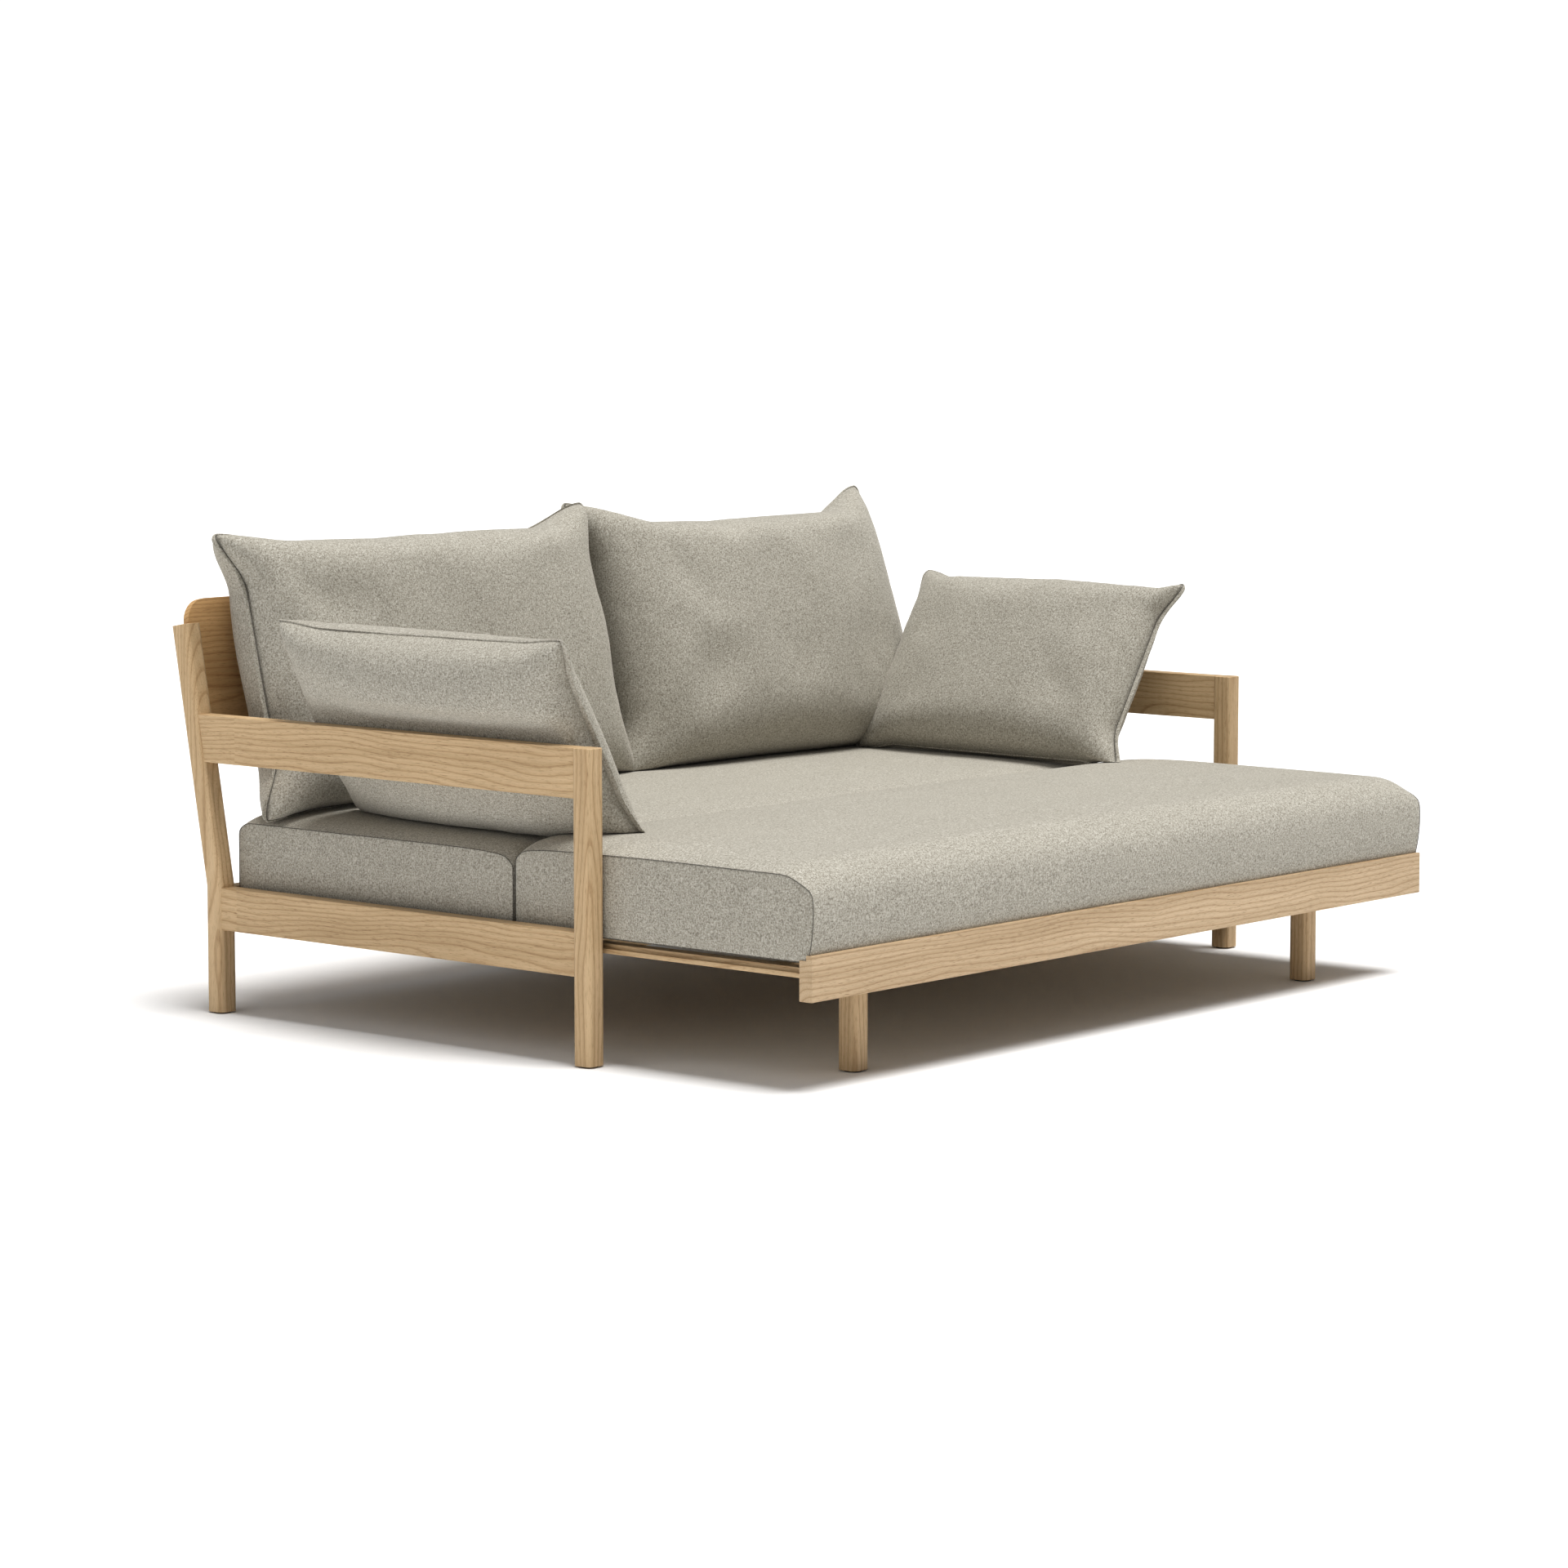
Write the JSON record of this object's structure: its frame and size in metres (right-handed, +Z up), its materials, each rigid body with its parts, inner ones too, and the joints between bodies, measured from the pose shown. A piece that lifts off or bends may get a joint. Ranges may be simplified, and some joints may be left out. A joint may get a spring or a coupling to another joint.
{
  "type": "daybed",
  "caption": "Wooden daybed with leaning backboard, slatted pull-out front on its own legs, two mattresses and loose back and arm cushions.",
  "frame": {"origin": "on the floor under the middle of the bounding box of the pulled-out daybed", "axes": "+X along the seat to the right as seen from the front, -Y towards the front, +Z up"},
  "size_m": [2.1, 1.651, 0.9804],
  "materials": {
    "ash_wood": "clear matt lacquer over straight and cathedral grain",
    "slat_wood": "planed and unfinished",
    "beech_dowel": "fluted beech, unfinished",
    "woven_fabric": "greige mottled plain-weave upholstery cloth",
    "zinc_steel": "zinc plated",
    "glide_plastic": "matt moulded"
  },
  "bodies": {
    "frame": {"arm_rail_left": "ash_wood", "arm_rail_rear_block_left": "ash_wood", "arm_rail_rear_block_right": "ash_wood", "arm_rail_right": "ash_wood", "backboard": "ash_wood", "fixed_slat_1": "slat_wood", "fixed_slat_2": "slat_wood", "fixed_slat_3": "slat_wood", "fixed_slat_4": "slat_wood", "fixed_slat_5": "slat_wood", "fixed_slat_6": "slat_wood", "fixed_slat_7": "slat_wood", "fixed_slat_8": "slat_wood", "frame_dowels": "beech_dowel", "frame_glides": "glide_plastic", "frame_screws": "zinc_steel", "front_post_left": "ash_wood", "front_post_right": "ash_wood", "lower_guide_left": "ash_wood", "lower_guide_right": "ash_wood", "rear_mattress": "woven_fabric", "rear_post_left": "ash_wood", "rear_post_right": "ash_wood", "rear_rail": "ash_wood", "rear_slat_cleat": "ash_wood", "side_rail_left": "ash_wood", "side_rail_rear_block_left": "ash_wood", "side_rail_rear_block_right": "ash_wood", "side_rail_right": "ash_wood", "slat_rail": "ash_wood", "upper_guide_left": "ash_wood", "upper_guide_right": "ash_wood"},
    "pull_out": {"leg_bolts": "zinc_steel", "pull_out_dowels": "beech_dowel", "pull_out_front_rail": "ash_wood", "pull_out_glides": "glide_plastic", "pull_out_leg_left": "ash_wood", "pull_out_leg_rail": "ash_wood", "pull_out_leg_right": "ash_wood", "pull_out_rear_rail": "ash_wood", "pull_out_runner_left": "ash_wood", "pull_out_runner_right": "ash_wood", "pull_out_screws": "zinc_steel", "pull_out_slat_cleat": "ash_wood", "pull_out_stops": "ash_wood", "sliding_slat_1": "slat_wood", "sliding_slat_2": "slat_wood", "sliding_slat_3": "slat_wood", "sliding_slat_4": "slat_wood", "sliding_slat_5": "slat_wood", "sliding_slat_6": "slat_wood", "sliding_slat_7": "slat_wood"},
    "arm_cushion_left": {"arm_cushion_left": "woven_fabric"},
    "arm_cushion_right": {"arm_cushion_right": "woven_fabric"},
    "back_cushion_left": {"back_cushion_left": "woven_fabric"},
    "back_cushion_right": {"back_cushion_right": "woven_fabric"},
    "front_mattress": {"front_mattress": "woven_fabric"}
  },
  "joints": [
    {"name": "pull_out_slide", "type": "slide", "parent": "frame", "child": "pull_out", "axis": [0, 1, 0], "range_m": [0, 0.5]},
    {"name": "front_mattress_lift", "type": "slide", "parent": "frame", "child": "front_mattress", "axis": [0, 0, 1], "range_m": [0, 0.3]},
    {"name": "back_cushion_left_lift", "type": "slide", "parent": "frame", "child": "back_cushion_left", "axis": [0, 0, 1], "range_m": [0, 0.3]},
    {"name": "arm_cushion_left_lift", "type": "slide", "parent": "front_mattress", "child": "arm_cushion_left", "axis": [0, 0, 1], "range_m": [0, 0.3]},
    {"name": "back_cushion_right_lift", "type": "slide", "parent": "frame", "child": "back_cushion_right", "axis": [0, 0, 1], "range_m": [0, 0.3]},
    {"name": "arm_cushion_right_lift", "type": "slide", "parent": "front_mattress", "child": "arm_cushion_right", "axis": [0, 0, 1], "range_m": [0, 0.3]}
  ],
  "couplings": [
    {"joint": "front_mattress_lift", "follows": "pull_out_slide", "ratio": 0.5}
  ]
}
